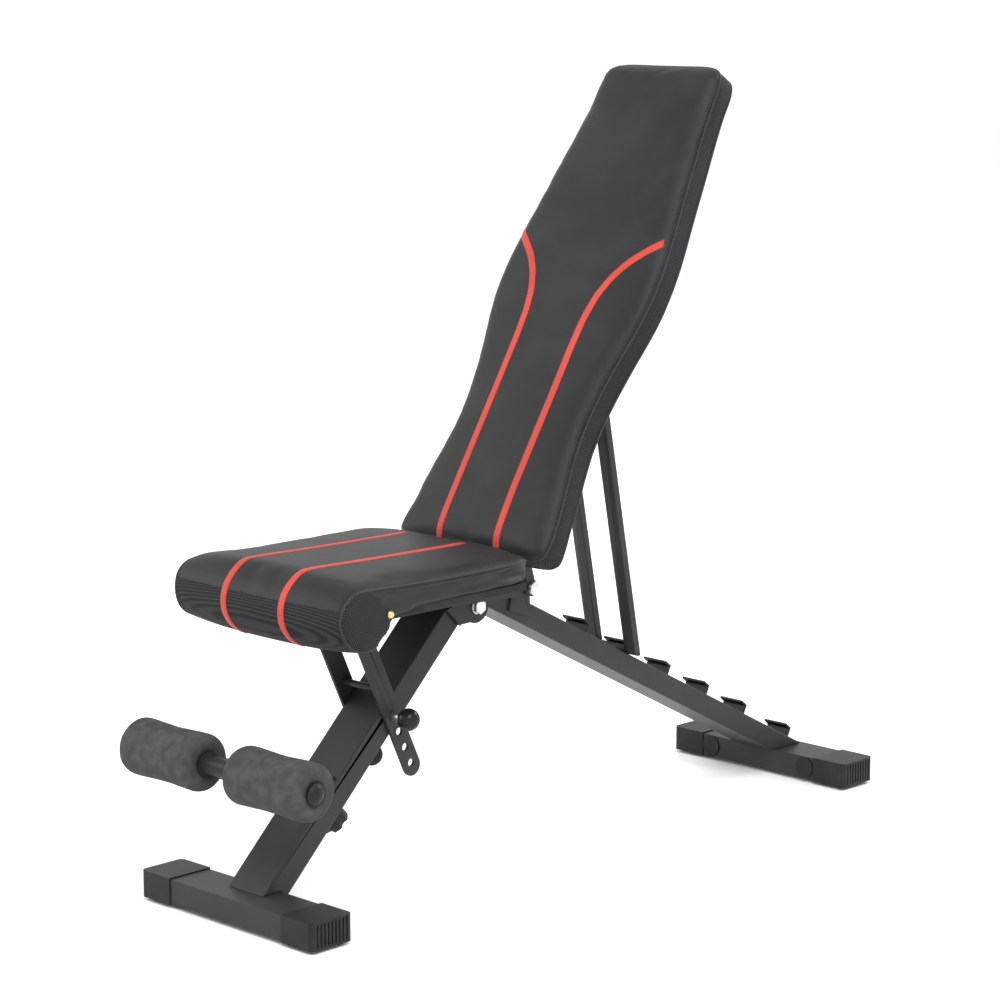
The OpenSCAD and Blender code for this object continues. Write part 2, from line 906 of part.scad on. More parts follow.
// a slab of the pad's outline, from depth y0 to y1
module back_slab(y0, y1, inset) {
    leaned()
        translate([0, y1, 0])
            rotate([90, 0, 0])
                linear_extrude(height = y1 - y0)
                    back_outline(inset);
}

module backrest_pad() {
    color([0.08, 0.08, 0.08])
        back_slab(-back_offset, -back_offset + back_t, 0);
}

module backrest_board() {
    color([0.1, 0.1, 0.1])
        back_slab(-back_offset + back_t, rail_y, board_inset);
}

module backrest_rail(side) {
    color([0.2, 0.2, 0.2])
        leaned()
            translate([side * rail_x - rail_w / 2, rail_y, rail_low])
                difference() {
                    cube([rail_w, rail_w, rail_len]);
                    translate([tube_wall, tube_wall, -1])
                        cube([rail_w - 2 * tube_wall, rail_w - 2 * tube_wall, rail_len + 2]);
                    translate([-1, rod_y - rail_y, rod_up - rail_low])
                        rotate([0, 90, 0])
                            cylinder(r = hinge_r + fit, h = rail_w + 2);
                }
}

// plates that join the rails to the pivot axle
module backrest_pivot_plates() {
    color([0.2, 0.2, 0.2])
        leaned()
            difference() {
                both_sides(back_plate_x, back_plate_x + back_plate_t) {
                    circle(r = lug_r);
                    polygon([
                        [lug_r, 0],
                        [rail_y + rail_w, rail_low],
                        [rail_y, rail_low],
                        [-lug_r, 0]
                    ]);
                }
                bar_x([0, 0], axle_r + fit, -leg_w - 20, leg_w + 20);
            }
}

// cross straps that tie the rails together behind them
module backrest_straps() {
    strap_h = 26;
    strap_t = 3;
    reach = rail_x + rail_w / 2;
    color([0.2, 0.2, 0.2])
        leaned()
            for (z = [110, rail_low + rail_len - strap_h])
                translate([-reach, rail_y + rail_w, z])
                    cube([2 * reach, strap_t, strap_h]);
}

module backrest_screws() {
    color([0.6, 0.6, 0.62])
        leaned()
            for (x = [-rail_x, rail_x], z = [150, 240, 400, 480])
                translate([x, rail_y + rail_w, z])
                    rotate([-90, 0, 0])
                        cylinder(r = 5, h = 2.4);
}

// ---- support frame ----

module support_rod() {
    x1 = rail_x + rail_w / 2;
    color([0.7, 0.7, 0.72]) {
        bar_x(rod_at, hinge_r, -x1 - 1, x1 + 1);
        bar_x(rod_at, 8, x1 + 1, x1 + 4);
        bar_x(rod_at, 8, -x1 - 4, -x1 - 1);
    }
}

module support_tube(side) {
    inner = support_gap / 2 - support_w / 2;
    x0 = side > 0 ? inner : -inner - support_w;
    d = (bar_at - rod_at) / support_run;
    color([0.15, 0.15, 0.16])
        difference() {
            across(x0, x0 + support_w) {
                spot(rod_at, 9);
                link(rod_at, bar_at + d * support_tail, support_t);
            }
            across(x0 + tube_wall, x0 + support_w - tube_wall)
                link(rod_at + d * 15, bar_at - d * 12, support_t - 2 * tube_wall);
            bar_x(rod_at, hinge_r + fit, -leg_w, leg_w);
            support_foot_cut();
        }
}

// keeps the tubes' feet clear of the ladder's top face
module support_foot_cut() {
    clear = ladder_up * 1;
    p = ladder_start + clear;
    across(-leg_w, leg_w)
        polygon([
            p,
            p + ladder_dir * 600,
            p + ladder_dir * 600 - ladder_up * 80,
            p - ladder_up * 80
        ]);
}

module support_bar() {
    inner = support_gap / 2 - support_w / 2;
    color([0.15, 0.15, 0.16])
        bar_x(bar_at, bar_small_r, -inner, inner);
}

rear_foot_tube();
rear_foot_cap(-1);  // rear_foot_cap_left
rear_foot_cap(1);  // rear_foot_cap_right
rear_foot_pads();
rear_foot_plugs();
rear_leg();
hook(1);  // hook_1
hook(2);  // hook_2
hook(3);  // hook_3
hook(4);  // hook_4
hook(5);  // hook_5
hook(6);  // hook_6
hinge_lug();
pivot_ears();
hinge_bolt();
hinge_nut();
front_foot_tube();
front_foot_cap(-1);  // front_foot_cap_left
front_foot_cap(1);  // front_foot_cap_right
front_foot_pads();
front_leg();
hinge_bracket();
fold_bumper();
roller_post();
post_base();
roller_bar();
bar_cap(-1);  // bar_cap_left
bar_cap(1);  // bar_cap_right
foam_roller(-1);  // foam_roller_left
foam_roller(1);  // foam_roller_right
clamp_screw();
clamp_knob();
seat_pad();
seat_board();
seat_plate(-1);  // seat_plate_left
seat_plate(1);  // seat_plate_right
seat_cross_tubes();
seat_side_screws();
seat_board_screws();
strip_rod();
strip_spacers();
strip(-1);  // strip_left
strip(1);  // strip_right
strip_cross_rod();
lock_pin();
ball_knob();
pivot_axle();
axle_nut();
backrest_pad();
backrest_board();
backrest_rail(-1);  // backrest_rail_left
backrest_rail(1);  // backrest_rail_right
backrest_pivot_plates();
backrest_straps();
backrest_screws();
support_rod();
support_tube(-1);  // support_tube_left
support_tube(1);  // support_tube_right
support_bar();
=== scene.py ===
"""Looks for an adjustable weight bench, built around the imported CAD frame. Lengths are in metres."""

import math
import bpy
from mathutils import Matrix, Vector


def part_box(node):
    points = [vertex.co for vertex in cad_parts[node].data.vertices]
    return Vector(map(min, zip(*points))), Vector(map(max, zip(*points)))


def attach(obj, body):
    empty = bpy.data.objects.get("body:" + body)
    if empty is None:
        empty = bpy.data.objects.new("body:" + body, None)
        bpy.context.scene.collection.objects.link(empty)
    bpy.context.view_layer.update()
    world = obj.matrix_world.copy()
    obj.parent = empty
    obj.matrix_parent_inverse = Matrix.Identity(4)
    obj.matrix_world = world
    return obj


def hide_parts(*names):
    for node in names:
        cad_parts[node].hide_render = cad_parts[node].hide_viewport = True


bl_info = {
    "name": "Adjustable Weight Bench",
    "version": (1, 0, 0),
    "blender": (4, 5, 0),
    "location": "View3D > Sidebar > Bench",
    "description": "Upholsters and finishes an adjustable weight bench around its CAD frame",
    "category": "Object",
}

import bmesh
import bpy
from mathutils import Matrix, Vector, noise
from mathutils.bvhtree import BVHTree

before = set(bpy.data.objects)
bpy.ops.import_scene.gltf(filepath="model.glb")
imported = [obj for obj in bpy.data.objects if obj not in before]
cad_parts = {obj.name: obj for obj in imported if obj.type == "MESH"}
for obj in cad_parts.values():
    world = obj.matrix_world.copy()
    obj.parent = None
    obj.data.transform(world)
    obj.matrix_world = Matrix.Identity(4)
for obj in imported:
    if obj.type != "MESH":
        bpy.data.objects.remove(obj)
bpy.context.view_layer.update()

MM = 0.001

# Places on the bench, in the CAD frame
AXLE = Vector((0.0, -37.462 * MM, 324.5 * MM))
LEAN = math.radians(90 - 58.15)
SEAT_LOW, SEAT_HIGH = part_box("seat_pad")
SEAT_REAR = SEAT_HIGH.y + 6 * MM
SEAT_UNDER = 356.5 * MM
SEAT_TOP = 382.5 * MM
ROLL = Vector((0.0, SEAT_LOW.y + 31.5 * MM, 354.3 * MM))
ROLL_R = 37.5 * MM
BACK_FRONT = -76.8 * MM
BACK_LOW = 8.0 * MM
BACK_HIGH = 665.0 * MM
BACK_T = 40.0 * MM
BACK_CORNER = 21.0 * MM
STRIPE_X = 47.5 * MM
# How far behind the backrest's front its two piped seams run
FRONT_SEAM = 6 * MM
REAR_SEAM = 37 * MM

# Half widths of the backrest pad by height above the axle
BACK_WIDTHS = (
    (0, 121), (32, 120.5), (92, 114), (140, 105.5), (168, 102), (206, 103), (237, 106.5), (266, 112),
    (307, 121), (327, 125), (372, 127.5), (418, 123), (472, 114.5), (522, 108), (579, 99.5), (622, 95.5),
    (662, 91),
)
# Middle of the backrest's stripe by height above the axle
BACK_STRIPE = (
    (10, 47), (92, 45.5), (280, 46), (312, 47.5), (342, 53), (367, 64), (387, 78), (403, 95), (414, 108),
    (422, 119),
)

# Stretches of the seat's side outline, by point, that carry its piping, side seam and stripes
SEAT_PIPED = slice(3, 60)
SEAT_SEAM = slice(7, 28)
SEAT_STRIPED = slice(8, 54)

CLOTH_FRAMES = 20
PAD_VOXEL = 5 * MM
PAD_SWELL = 4 * MM


# ---- Sizes and colours that a user would change ----


class BenchCoverSettings(bpy.types.PropertyGroup):
    """The upholstery of the seat, the backrest and the rollers"""

    leather: bpy.props.FloatVectorProperty(
        name="Cover", description="Colour of the smooth cover", subtype="COLOR", size=3,
        default=(0.017, 0.017, 0.018), min=0, max=1,
    )
    mesh: bpy.props.FloatVectorProperty(
        name="Side fabric", description="Colour of the woven side panels", subtype="COLOR", size=3,
        default=(0.035, 0.036, 0.039), min=0, max=1,
    )
    stripe: bpy.props.FloatVectorProperty(
        name="Stripe", description="Colour of the sewn stripes", subtype="COLOR", size=3,
        default=(0.47, 0.05, 0.034), min=0, max=1,
    )
    foam: bpy.props.FloatVectorProperty(
        name="Foam", description="Colour of the foam rollers", subtype="COLOR", size=3,
        default=(0.05, 0.051, 0.053), min=0, max=1,
    )
    stripe_width: bpy.props.FloatProperty(
        name="Stripe width", description="Width of the sewn stripes", subtype="DISTANCE", unit="LENGTH",
        default=10 * MM, min=4 * MM, max=20 * MM,
    )
    crown: bpy.props.FloatProperty(
        name="Crown", description="How far the pads rise in the middle", subtype="DISTANCE", unit="LENGTH",
        default=7 * MM, min=0, max=12 * MM,
    )
    piping: bpy.props.FloatProperty(
        name="Piping", description="Radius of the piping along the seams", subtype="DISTANCE", unit="LENGTH",
        default=1.4 * MM, min=0.5 * MM, max=3 * MM,
    )


class BenchSteelSettings(bpy.types.PropertyGroup):
    """The painted, plated and moulded parts"""

    paint: bpy.props.FloatVectorProperty(
        name="Frame paint", description="Colour of the frame's powder coat", subtype="COLOR", size=3,
        default=(0.027, 0.027, 0.028), min=0, max=1,
    )
    black: bpy.props.FloatVectorProperty(
        name="Hook paint", description="Colour of the hooks and the roller bar", subtype="COLOR", size=3,
        default=(0.016, 0.016, 0.017), min=0, max=1,
    )
    plastic: bpy.props.FloatVectorProperty(
        name="Plastic", description="Colour of the caps and knobs", subtype="COLOR", size=3,
        default=(0.012, 0.012, 0.013), min=0, max=1,
    )
    edge: bpy.props.FloatProperty(
        name="Edge radius", description="Rounding of the tubes' edges", subtype="DISTANCE", unit="LENGTH",
        default=1.6 * MM, min=0, max=3 * MM,
    )


class BenchStageSettings(bpy.types.PropertyGroup):
    """The floor, the lights and the camera"""

    floor: bpy.props.FloatVectorProperty(
        name="Floor", description="Colour of the floor", subtype="COLOR", size=3,
        default=(0.95, 0.95, 0.95), min=0, max=1,
    )
    key: bpy.props.FloatProperty(
        name="Key light", description="Power of the main soft light", default=120, min=0, subtype="POWER",
        unit="POWER",
    )


# ---- Shader maths ----


class Field:
    """A shader socket. Arithmetic on it adds Math nodes to its material."""

    def __init__(self, finish, socket):
        self.finish = finish
        self.socket = socket

    def _math(self, operation, *values):
        return self.finish.node("ShaderNodeMath", {"operation": operation}, *values)

    def __add__(self, other):
        return self._math("ADD", self, other)

    __radd__ = __add__

    def __sub__(self, other):
        return self._math("SUBTRACT", self, other)

    def __rsub__(self, other):
        return self._math("SUBTRACT", other, self)

    def __mul__(self, other):
        return self._math("MULTIPLY", self, other)

    __rmul__ = __mul__

    def wave(self, pitch):
        """1 on a thread's crest and 0 in the gap between two, along a length in metres."""
        return self._math("SINE", self * (2 * math.pi / pitch)) * 0.5 + 0.5

    def ramp(self, low, high):
        """0 below low, 1 above high, and smooth between them."""
        settings = {"interpolation_type": "SMOOTHSTEP"}
        return self.finish.node("ShaderNodeMapRange", settings, self, low, high, 0.0, 1.0)


class Finish:
    """One material of the bench, with a Principled shader."""

    def __init__(self, name, color, roughness, metallic=0.0):
        self.material = bpy.data.materials.new(name)
        self.material.use_nodes = True
        self.tree = self.material.node_tree
        self.shader = self.tree.nodes["Principled BSDF"]
        self.shader.inputs["Base Color"].default_value = (*color, 1)
        self.shader.inputs["Roughness"].default_value = roughness
        self.shader.inputs["Metallic"].default_value = metallic
        self.shader.inputs["Specular IOR Level"].default_value = 0.5 if metallic else 0.17
        self.material.diffuse_color = (*color, 1)

    def node(self, kind, settings=None, *values, out=0, **named):
        """Adds a node, sets its settings and then its sockets, and gives back one of its outputs."""
        made = self.tree.nodes.new(kind)
        for key, value in (settings or {}).items():
            setattr(made, key, value)
        sockets = list(zip([s for s in made.inputs if s.enabled], values))
        sockets += [(made.inputs[key.replace("_", " ")], value) for key, value in named.items()]
        for socket, value in sockets:
            self.plug(socket, value)
        return Field(self, made.outputs[out])

    def plug(self, socket, value):
        if isinstance(value, Field):
            self.tree.links.new(value.socket, socket)
        elif value is not None:
            socket.default_value = value

    def set(self, **named):
        for key, value in named.items():
            self.plug(self.shader.inputs[key.replace("_", " ")], value)
        return self

    def place(self):
        """Where a point is on its own piece, in metres."""
        return self.node("ShaderNodeTexCoord", out=3)

    def axes(self):
        """The three coordinates of place()."""
        made = self.tree.nodes.new("ShaderNodeSeparateXYZ")
        self.tree.links.new(self.place().socket, made.inputs[0])
        return [Field(self, s) for s in made.outputs]

    def noise(self, scale, detail=3.0, rough=0.5):
        return self.node(
            "ShaderNodeTexNoise", {"noise_dimensions": "3D"},
            Vector=self.place(), Scale=scale, Detail=detail, Roughness=rough,
        )

    def cells(self, scale):
        """Distance to the nearest cell edge, for leather grain and foam."""
        return self.node(
            "ShaderNodeTexVoronoi", {"feature": "DISTANCE_TO_EDGE"}, Vector=self.place(), Scale=scale,
        )

    def blend(self, share, low, high):
        """A colour between two colours."""
        made = self.tree.nodes.new("ShaderNodeMix")
        made.data_type = "RGBA"
        self.plug(made.inputs[0], share)
        self.plug(made.inputs[6], low if isinstance(low, Field) else (*low, 1))
        self.plug(made.inputs[7], high if isinstance(high, Field) else (*high, 1))
        return Field(self, made.outputs[2])

    def bump(self, height, depth):
        """Makes the surface follow a height field of this depth in metres."""
        normal = self.node("ShaderNodeBump", None, Height=height, Distance=depth, Strength=1.0)
        return self.set(Normal=normal)


def lighter(color, share):
    return tuple(min(1.0, c * share) for c in color)


def powder_coat(name, color):
    """Satin powder coat: a fine orange-peel bump, with slightly duller patches."""
    finish = Finish(name, color, 0.42)
    patches = finish.noise(9.0)
    peel = finish.noise(900.0, 2.0)
    finish.set(
        Base_Color=finish.blend(patches.ramp(0.35, 0.7), lighter(color, 0.9), lighter(color, 1.12)),
        Roughness=patches * 0.12 + peel * 0.1 + 0.3,
    )
    return finish.bump(peel, 0.12 * MM).material


def moulded(name, color, roughness, grain):
    """Moulded plastic or rubber with a spark-eroded grain."""
    finish = Finish(name, color, roughness)
    texture = finish.noise(1500.0, 2.0)
    scuffs = finish.noise(35.0, 4.0)
    finish.set(
        Base_Color=finish.blend(scuffs.ramp(0.4, 0.75), color, lighter(color, 1.5)),
        Roughness=scuffs * 0.14 + (roughness - 0.07),
    )
    return finish.bump(texture, grain).material


def plated(name, color, roughness):
    """Zinc or brass: fine turning marks and a little tarnish."""
    finish = Finish(name, color, roughness, 1.0)
    tarnish = finish.noise(60.0, 4.0)
    marks = finish.noise(700.0, 1.0)
    finish.set(
        Base_Color=finish.blend(tarnish.ramp(0.35, 0.8), color, lighter(color, 0.78)),
        Roughness=tarnish * 0.2 + marks * 0.08 + (roughness - 0.1),
    )
    return finish.bump(marks, 0.05 * MM).material


def grain_of(finish):
    """Height of synthetic leather: pebbles with creased borders, and fine pores."""
    return finish.cells(520.0).ramp(0.0, 0.16) * 0.75 + finish.noise(1900.0, 2.0) * 0.25


def stitched_leather(name, color):
    """Smooth synthetic leather for piping and stripes."""
    finish = Finish(name, color, 0.46)
    handling = finish.noise(18.0, 3.0)
    finish.set(
        Base_Color=finish.blend(handling.ramp(0.35, 0.75), lighter(color, 0.88), lighter(color, 1.08)),
        Roughness=handling * 0.14 + 0.38,
    )
    return finish.bump(grain_of(finish), 0.09 * MM).material


def upholstery(name, color, mesh_color):
    """Leather on the faces and a woven mesh on the side panels, told apart by the panel attribute."""
    finish = Finish(name, color, 0.48)
    x, y, z = finish.axes()
    panel = finish.node("ShaderNodeAttribute", {"attribute_name": "panel"}, out=2).ramp(-0.0004, 0.0004)
    thread = 2.2 * MM
    along = y * 0.85 + z * 0.53
    across = x + z * 0.85 - y * 0.53
    weave = along.wave(thread) * across.wave(thread)
    handling = finish.noise(14.0, 3.0)
    leather = finish.blend(handling.ramp(0.35, 0.75), lighter(color, 0.85), lighter(color, 1.25))
    fabric = finish.blend(weave.ramp(0.15, 0.55), lighter(mesh_color, 0.22), mesh_color)
    smooth = handling * 0.16 + 0.37
    finish.set(
        Base_Color=finish.blend(panel, leather, fabric),
        Roughness=smooth + panel * (0.72 - smooth),
    )
    height = grain_of(finish) * (1 - panel) * 0.16 + weave * panel
    return finish.bump(height, 0.5 * MM).material


def foam_skin(name, color):
    """Closed-cell foam: open pores and a soft mottled skin."""
    finish = Finish(name, color, 0.85)
    pores = finish.cells(900.0)
    mottle = finish.noise(70.0, 4.0)
    finish.set(
        Base_Color=finish.blend(mottle.ramp(0.3, 0.75), lighter(color, 0.8), lighter(color, 1.3)),
        Roughness=mottle * 0.1 + 0.78,
    )
    return finish.bump(pores.ramp(0.0, 0.2) * 0.6 + mottle * 0.4, 0.25 * MM).material


def painted_board(name, color):
    """Black painted plywood with the veneer's grain showing through."""
    finish = Finish(name, color, 0.6)
    x, y, z = finish.axes()
    grain = finish.node(
        "ShaderNodeTexNoise", {"noise_dimensions": "2D"},
        Vector=finish.node("ShaderNodeCombineXYZ", None, x * 12, y * 1.5 + z * 1.5, 0.0), Scale=30.0,
    )
    finish.set(
        Base_Color=finish.blend(grain.ramp(0.35, 0.7), color, lighter(color, 1.7)),
        Roughness=grain * 0.2 + 0.5,
    )
    return finish.bump(grain, 0.2 * MM).material


# ---- Mesh work ----


def table_value(table, place):
    """A value read from (place, value) rows in millimetres, smoothed between rows."""
    p = place / MM
    if p <= table[0][0]:
        return table[0][1] * MM
    for (p0, v0), (p1, v1) in zip(table, table[1:]):
        if p <= p1:
            return (v0 + (v1 - v0) * (p - p0) / (p1 - p0)) * MM
    return table[-1][1] * MM


def smooth_value(table, place, reach=14 * MM):
    """table_value averaged over a short reach, so that its corners are rounded."""
    steps = (-1, -0.6, -0.2, 0.2, 0.6, 1)
    return sum(table_value(table, place + reach * s) for s in steps) / len(steps)


def new_piece(name, points, faces, material=None, smooth=True):
    mesh = bpy.data.meshes.new(name)
    mesh.from_pydata([tuple(p) for p in points], [], faces)
    mesh.validate()
    bm = bmesh.new()
    bm.from_mesh(mesh)
    bmesh.ops.recalc_face_normals(bm, faces=bm.faces)
    bm.to_mesh(mesh)
    bm.free()
    piece = bpy.data.objects.new(name, mesh)
    bpy.context.scene.collection.objects.link(piece)
    if material:
        mesh.materials.append(material)
    for face in mesh.polygons:
        face.use_smooth = smooth
    return piece


def skin(rings, closed_ends=True):
    """Points and faces of a surface through rings of equal length."""
    count = len(rings[0])
    points = [p for ring in rings for p in ring]
    faces = []
    for i in range(len(rings) - 1):
        for j in range(count):
            k = (j + 1) % count
            faces.append((i * count + j, i * count + k, (i + 1) * count + k, (i + 1) * count + j))
    if closed_ends:
        for start, ring in ((0, rings[0]), ((len(rings) - 1) * count, rings[-1])):
            middle = sum((Vector(p) for p in ring), Vector()) / count
            points.append(middle)
            for j in range(count):
                faces.append((start + j, start + (j + 1) % count, len(points) - 1))
    return points, faces


def fair(points, closed=False, rounds=2):
    """Evens out a line of points."""
    for _ in range(rounds):
        last = len(points) - 1
        points = [
            p if not closed and i in (0, last)
            else (points[i - 1] + p * 2 + points[(i + 1) % len(points)]) / 4
            for i, p in enumerate(points)
        ]
    return points


def piping(name, path, radius, material, closed=True, sides=8):
    """A round cord of constant radius along a path."""
    rings = []
    count = len(path)
    side = None
    for i, p in enumerate(path):
        before = path[i - 1] if closed or i else p
        after = path[(i + 1) % count] if closed or i < count - 1 else p
        along = (after - before).normalized()
        side = along.orthogonal() if side is None else side - along * side.dot(along)
        side.normalize()
        up = along.cross(side)
        turns = [2 * math.pi * k / sides for k in range(sides)]
        rings.append([p + side * (math.cos(t) * radius) + up * (math.sin(t) * radius) for t in turns])
    if not closed:
        return new_piece(name, *skin(rings), material)
    best = min(
        range(sides),
        key=lambda shift: sum((rings[0][(k + shift) % sides] - rings[-1][k]).length for k in range(sides)),
    )
    rings.append([rings[0][(k + best) % sides] for k in range(sides)])
    return new_piece(name, *skin(rings, closed_ends=False), material)


def surface_of(piece):
    bm = bmesh.new()
    bm.from_mesh(piece.data)
    tree = BVHTree.FromBMesh(bm)
    bm.free()
    return tree


def on_surface(tree, point, lift=0.0):
    spot, normal, _, _ = tree.find_nearest(point)
    return spot + normal * lift


def ribbon(name, tree, path, sides, width, material):
    """A sewn stripe with a low domed section, laid on a pad's surface.

    path is its middle line and sides the direction across it at each point."""
    section = ((-0.5, -0.5), (-0.46, 0.35), (-0.25, 0.75), (0, 0.85), (0.25, 0.75), (0.46, 0.35), (0.5, -0.5))
    rings = []
    for p, side in zip(path, sides):
        rings.append([on_surface(tree, p + side * (width * u), h * MM) for u, h in section])
    return new_piece(name, *skin(rings), material)


def puff(piece):
    """Lets a pad swell under its cover: cloth with air inside, eased back to PAD_SWELL at most."""
    bpy.context.view_layer.objects.active = piece
    remesh = piece.modifiers.new("even", "REMESH")
    remesh.mode = "VOXEL"
    remesh.voxel_size = PAD_VOXEL
    bpy.ops.object.modifier_apply(modifier=remesh.name)
    rest = [v.co.copy() for v in piece.data.vertices]
    cloth = piece.modifiers.new("swell", "CLOTH")
    cloth.settings.use_pressure = True
    cloth.settings.uniform_pressure_force = 4
    cloth.settings.effector_weights.gravity = 0
    cloth.settings.mass = 0.4
    cloth.settings.tension_stiffness = 25
    cloth.settings.compression_stiffness = 25
    cloth.point_cache.frame_start = 1
    cloth.point_cache.frame_end = CLOTH_FRAMES
    for step in range(1, CLOTH_FRAMES + 1):
        bpy.context.scene.frame_set(step)
        bpy.context.view_layer.update()
    bpy.ops.object.modifier_apply(modifier=cloth.name)
    bpy.context.scene.frame_set(1)
    for vertex, start in zip(piece.data.vertices, rest):
        move = vertex.co - start
        if move.length > PAD_SWELL:
            vertex.co = start + move * (PAD_SWELL / move.length)
    relax = piece.modifiers.new("relax", "SMOOTH")
    relax.factor = 0.5
    relax.iterations = 6
    bpy.ops.object.modifier_apply(modifier=relax.name)
    fine = piece.modifiers.new("fine", "SUBSURF")
    fine.levels = fine.render_levels = 1
    bpy.ops.object.modifier_apply(modifier=fine.name)
    for face in piece.data.polygons:
        face.use_smooth = True


def mark_panel(piece, distance):
    """Stores how far each point lies inside the woven side panels, which the cover's finish reads."""
    panel = piece.data.attributes.new("panel", "FLOAT", "POINT")
    panel.data.foreach_set("value", [distance(v.co) for v in piece.data.vertices])


def stored(name, build):
    """A material by name, made on first use."""
    return bpy.data.materials.get(name) or build()


def cover_settings():
    return bpy.context.scene.bench_cover


def steel_settings():
    return bpy.context.scene.bench_steel


def cover_material():
    s = cover_settings()
    return stored("bench_cover", lambda: upholstery("bench_cover", s.leather[:], s.mesh[:]))


def piping_material():
    color = lighter(cover_settings().leather, 1.6)
    return stored("cover_piping", lambda: stitched_leather("cover_piping", color))


def stripe_material():
    return stored("cover_stripe", lambda: stitched_leather("cover_stripe", cover_settings().stripe[:]))


# ---- Seat ----


def seat_profile(swell, inset=0.0):
    """The seat's side outline as (y, z) points, from its rear top edge over the roll and back underneath."""
    top = SEAT_TOP + swell - inset
    rear = SEAT_REAR - inset
    under = SEAT_UNDER + inset
    r = ROLL_R + swell * 0.7 - inset
    edge = 9 * MM
    points = []
    for k in range(7):
        a = math.pi / 2 * k / 6
        points.append((rear - edge + edge * math.cos(a), top - edge + edge * math.sin(a)))
    start = ROLL.y + 6 * MM
    full = top + 4 * MM
    for k in range(1, 24):
        points.append((rear - edge + (start - rear + edge) * k / 24, top + (full - top) * (k / 24) ** 2))
    for k in range(31):
        a = math.radians(90 + 220 * k / 30)
        rise = (full - ROLL.z - r) * max(0.0, math.sin(a)) ** 2
        points.append((ROLL.y + r * math.cos(a), ROLL.z + r * math.sin(a) + rise))
    for y, z in ((-352.5, 349.5), (-346.5, 354.0), (-338.5, 356.3)):
        points.append((y * MM + 3 * MM - inset * 0.5, z * MM + inset))
    first = -334 * MM
    for k in range(1, 20):
        points.append((first + (rear - 5 * MM - first) * k / 20, under))
    for k in range(4):
        a = math.pi / 2 * k / 4
        points.append((rear - 5 * MM + 5 * MM * math.sin(a), under + 5 * MM - 5 * MM * math.cos(a)))
    return points


def seat_half_width(y):
    """The seat's half width, drawn in at its rear corners."""
    half = SEAT_HIGH.x
    corner = 28 * MM
    into = y - (SEAT_REAR - corner)
    if into <= 0:
        return half
    return half - corner + math.sqrt(max(0.0, corner ** 2 - min(into, corner) ** 2)) * 0.93 + corner * 0.07


def seat_point(x_share, y, z):
    return Vector((x_share * seat_half_width(y), y, z))


class BENCH_OT_seat(bpy.types.Operator):
    """Upholster the seat: a crowned pad with a rolled front edge, piping and sewn stripes"""

    bl_idname = "bench.seat"
    bl_label = "Seat pad"

    def execute(self, context):
        s = cover_settings()
        shares = [-1 + 2 * i / 40 for i in range(41)]
        rings = []
        for share in shares:
            swell = s.crown * (1 - abs(share) ** 2.6)
            rings.append([seat_point(share, y, z) for y, z in seat_profile(swell)])
        for share in (1, -1):
            side = []
            for y, z in seat_profile(0, 4 * MM):
                p = seat_point(share, y, z)
                p.x += share * 1.5 * MM
                side.append(p)
            if share > 0:
                rings.append(side)
            else:
                rings.insert(0, side)
        pad = new_piece("seat_cushion", *skin(rings), cover_material())
        puff(pad)

        def into_panel(p):
            to_side = abs(p.x) - seat_half_width(p.y) + 2.2 * MM
            if p.y > ROLL.y:
                above = SEAT_TOP + 1 * MM - p.z
            else:
                above = ROLL_R + 3.5 * MM - math.hypot(p.y - ROLL.y, p.z - ROLL.z)
            side = min(to_side, above)
            roll = min(ROLL.z + 13 * MM - p.z, ROLL.y + 26 * MM - p.y)
            return max(side, roll)

        mark_panel(pad, into_panel)
        tree = surface_of(pad)
        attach(pad, "seat")
        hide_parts("seat_pad")

        for side_name, share in (("left", -1), ("right", 1)):
            outline = fair([
                on_surface(tree, seat_point(share, y, z) - Vector((share * 0.8 * MM, 0, 0)), 0.2 * MM)
                for y, z in seat_profile(0)[SEAT_PIPED]
            ])
            cord = piping(f"seat_piping_{side_name}", outline, s.piping, piping_material(), closed=False)
            second = fair([
                on_surface(tree, Vector((share * (seat_half_width(y) + 4 * MM), y, z - 6.5 * MM)), 0.0)
                for y, z in seat_profile(0)[SEAT_SEAM]
            ])
            seam = piping(
                f"seat_side_seam_{side_name}", second, s.piping * 0.6, piping_material(), closed=False,
            )
            for piece in (cord, seam):
                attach(piece, "seat")
            line = [Vector((share * STRIPE_X, y, z)) for y, z in seat_profile(s.crown)[SEAT_STRIPED]]
            line[0].z += 2 * MM
            stripe = ribbon(
                f"seat_stripe_{side_name}", tree, line, [Vector((1, 0, 0))] * len(line), s.stripe_width,
                stripe_material(),
            )
            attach(stripe, "seat")
        return {"FINISHED"}


# ---- Backrest ----


def leaned(x, depth, height):
    """A point of the backrest, in the CAD frame, from its place on the upright backrest."""
    y = depth * math.cos(LEAN) + height * math.sin(LEAN)
    z = -depth * math.sin(LEAN) + height * math.cos(LEAN)
    return AXLE + Vector((x, y, z))


def upright(point):
    """The reverse of leaned(): across, depth from the axle, and height above it."""
    y, z = point.y - AXLE.y, point.z - AXLE.z
    return point.x, y * math.cos(LEAN) - z * math.sin(LEAN), y * math.sin(LEAN) + z * math.cos(LEAN)


def back_half_width(height):
    """Half width of the backrest, with its corners rounded."""
    half = smooth_value(BACK_WIDTHS, height)
    for end, sense, corner in ((BACK_HIGH, -1, BACK_CORNER), (BACK_LOW, 1, 15 * MM)):
        gone = corner - (height - end) * sense
        if gone > 0:
            half -= corner - math.sqrt(max(0.0, corner ** 2 - min(gone, corner) ** 2))
    return half


